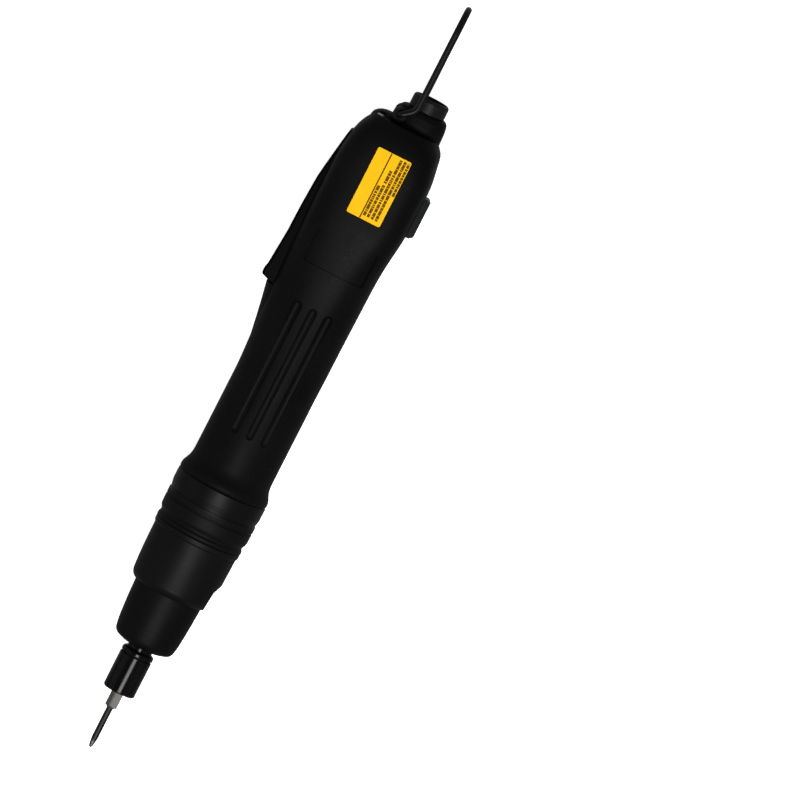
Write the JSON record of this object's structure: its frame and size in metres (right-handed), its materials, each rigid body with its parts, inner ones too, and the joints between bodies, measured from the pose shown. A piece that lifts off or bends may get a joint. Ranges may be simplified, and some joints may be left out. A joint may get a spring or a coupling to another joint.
{
  "type": "electric torque screwdriver",
  "caption": "Inline lever-start electric screwdriver with an adjusting torque nut, quick-change hex bit chuck, slide direction switch, rear power inlet and a wire suspension bail.",
  "frame": {"origin": "centre of the underside of the bounding box, on the surface the tool lies on", "axes": "+X along the tool from the bit to the suspension bail, +Y towards the start lever, +Z out of the label face"},
  "size_m": [0.335, 0.0476, 0.0384],
  "materials": {
    "housing_plastic": "fine moulded texture, matte black",
    "nose_plastic": "satin black moulding",
    "blackened_steel": "blackened and polished",
    "bit_steel": "ground steel",
    "screw_steel": "plated",
    "dark_screw_steel": "black oxide",
    "spring_steel": "drawn wire",
    "gear_steel": "sintered",
    "motor_steel": "zinc plated sheet",
    "magnet_iron": "ferrite and carbon",
    "copper_wire": "enamelled copper",
    "bush_bronze": "sintered bronze, gilt contacts",
    "switch_plastic": "black moulding",
    "plunger_plastic": "red moulding",
    "lever_plastic": "satin black moulding",
    "knob_plastic": "dark glossy moulding",
    "board_laminate": "green solder mask",
    "inlet_metal": "black moulding",
    "bail_wire": "black coated wire",
    "label_film": "orange-yellow film",
    "wire_insulation": "insulated lead"
  },
  "bodies": {
    "housing": {"front_housing_shell": "housing_plastic", "rear_housing_shell": "housing_plastic", "housing_screws": "dark_screw_steel", "gearbox_collar": "nose_plastic", "cover_screws": "screw_steel", "clutch_cover": "nose_plastic", "thrust_ring": "screw_steel", "torque_spring": "spring_steel", "output_bearing_outer_race": "screw_steel", "output_bearing_balls": "screw_steel", "ring_gear": "gear_steel", "motor_mount_plate": "gear_steel", "motor_screws": "screw_steel", "motor_can": "motor_steel", "motor_magnets": "magnet_iron", "motor_end_cap": "switch_plastic", "motor_brushes": "magnet_iron", "lever_pin": "screw_steel", "lever_spring": "spring_steel", "start_switch": "switch_plastic", "direction_switch": "switch_plastic", "control_board": "board_laminate", "board_components": "switch_plastic", "board_screws": "screw_steel", "inlet_shell": "inlet_metal", "inlet_insert": "switch_plastic", "inlet_pins": "bush_bronze", "label_plate": "label_film", "ground_screw": "screw_steel", "wire_harness": "wire_insulation"},
    "adjuster": {"spring_seat": "screw_steel"},
    "nose": {"torque_nut": "nose_plastic", "nose_bush": "bush_bronze"},
    "rotor": {"motor_shaft": "screw_steel", "armature_core": "motor_steel", "armature_windings": "copper_wire", "commutator": "copper_wire", "motor_pinion": "gear_steel"},
    "first_carrier": {"first_carrier": "gear_steel"},
    "drive": {"output_carrier": "gear_steel", "clutch_drive_disc": "screw_steel", "output_bearing_inner_race": "screw_steel"},
    "spindle": {"spindle": "blackened_steel", "chuck_balls": "screw_steel", "chuck_snap_ring": "spring_steel", "chuck_spring": "spring_steel", "clutch_driven_disc": "screw_steel", "clutch_balls": "screw_steel"},
    "chuck_sleeve": {"chuck_sleeve": "blackened_steel"},
    "bit": {"bit": "bit_steel"},
    "lever": {"start_lever": "lever_plastic"},
    "plunger": {"switch_plunger": "plunger_plastic"},
    "direction_knob": {"direction_knob": "knob_plastic"},
    "bail": {"bail": "bail_wire"},
    "output_planet_a": {"output_planet_a": "gear_steel"},
    "output_planet_b": {"output_planet_b": "gear_steel"},
    "output_planet_c": {"output_planet_c": "gear_steel"},
    "first_planet_a": {"first_planet_a": "gear_steel"},
    "first_planet_b": {"first_planet_b": "gear_steel"},
    "first_planet_c": {"first_planet_c": "gear_steel"}
  },
  "joints": [
    {"name": "torque_travel", "type": "slide", "parent": "housing", "child": "adjuster", "axis": [1, 0, 0], "range_m": [-0.0015, 0.0015], "deforming": ["torque_spring"]},
    {"name": "torque_nut_turn", "type": "hinge", "parent": "adjuster", "child": "nose", "pos_m": [-0.1075, -0.00135, 0.019], "axis": [1, 0, 0], "range_deg": [-360, 360]},
    {"name": "motor_spin", "type": "hinge", "parent": "housing", "child": "rotor", "pos_m": [-0.0295, -0.00135, 0.019], "axis": [1, 0, 0], "continuous": true},
    {"name": "first_carrier_spin", "type": "hinge", "parent": "housing", "child": "first_carrier", "pos_m": [-0.0575, -0.00135, 0.019], "axis": [1, 0, 0], "continuous": true},
    {"name": "output_spin", "type": "hinge", "parent": "housing", "child": "drive", "pos_m": [-0.0715, -0.00135, 0.019], "axis": [1, 0, 0], "continuous": true},
    {"name": "clutch_slip", "type": "hinge", "parent": "drive", "child": "spindle", "pos_m": [-0.0795, -0.00135, 0.019], "axis": [1, 0, 0], "continuous": true},
    {"name": "chuck_sleeve_slide", "type": "slide", "parent": "spindle", "child": "chuck_sleeve", "axis": [1, 0, 0], "range_m": [0, 0.0022], "stiffness_N_per_m": 1500, "springref_m": -0.002, "deforming": ["chuck_spring"]},
    {"name": "bit_slide", "type": "slide", "parent": "spindle", "child": "bit", "axis": [-1, 0, 0], "range_m": [0, 0.02]},
    {"name": "lever_press", "type": "hinge", "parent": "housing", "child": "lever", "pos_m": [0.0975, 0.01325, 0.019], "axis": [0, 0, 1], "range_deg": [0, 3.3], "stiffness_Nm_per_rad": 1, "springref_deg": -3.44, "deforming": ["lever_spring"]},
    {"name": "switch_plunger_press", "type": "slide", "parent": "housing", "child": "plunger", "axis": [0, -1, 0], "range_m": [0, 0.00105]},
    {"name": "direction_slide", "type": "slide", "parent": "housing", "child": "direction_knob", "axis": [1, 0, 0], "range_m": [-0.0025, 0.0025]},
    {"name": "bail_swing", "type": "hinge", "parent": "housing", "child": "bail", "pos_m": [0.1175, 0.00325, 0.019], "axis": [0, 0, 1], "range_deg": [-55, 90]},
    {"name": "output_planet_a_spin", "type": "hinge", "parent": "drive", "child": "output_planet_a", "pos_m": [-0.0625, 0.00675, 0.019], "axis": [1, 0, 0], "continuous": true},
    {"name": "output_planet_b_spin", "type": "hinge", "parent": "drive", "child": "output_planet_b", "pos_m": [-0.0625, -0.0054, 0.02601], "axis": [1, 0, 0], "continuous": true},
    {"name": "output_planet_c_spin", "type": "hinge", "parent": "drive", "child": "output_planet_c", "pos_m": [-0.0625, -0.0054, 0.01199], "axis": [1, 0, 0], "continuous": true},
    {"name": "first_planet_a_spin", "type": "hinge", "parent": "first_carrier", "child": "first_planet_a", "pos_m": [-0.0535, 0.00675, 0.019], "axis": [1, 0, 0], "continuous": true},
    {"name": "first_planet_b_spin", "type": "hinge", "parent": "first_carrier", "child": "first_planet_b", "pos_m": [-0.0535, -0.0054, 0.02601], "axis": [1, 0, 0], "continuous": true},
    {"name": "first_planet_c_spin", "type": "hinge", "parent": "first_carrier", "child": "first_planet_c", "pos_m": [-0.0535, -0.0054, 0.01199], "axis": [1, 0, 0], "continuous": true}
  ],
  "couplings": [
    {"joint": "torque_travel", "follows": "torque_nut_turn", "m_per_rad": 0.00023873},
    {"joint": "first_carrier_spin", "follows": "motor_spin", "ratio": 0.22222},
    {"joint": "output_spin", "follows": "motor_spin", "ratio": 0.049383},
    {"joint": "switch_plunger_press", "follows": "lever_press", "m_per_rad": 0.0174},
    {"joint": "output_planet_a_spin", "follows": "motor_spin", "ratio": -0.13827},
    {"joint": "output_planet_b_spin", "follows": "motor_spin", "ratio": -0.13827},
    {"joint": "output_planet_c_spin", "follows": "motor_spin", "ratio": -0.13827},
    {"joint": "first_planet_a_spin", "follows": "motor_spin", "ratio": -0.62222},
    {"joint": "first_planet_b_spin", "follows": "motor_spin", "ratio": -0.62222},
    {"joint": "first_planet_c_spin", "follows": "motor_spin", "ratio": -0.62222}
  ]
}
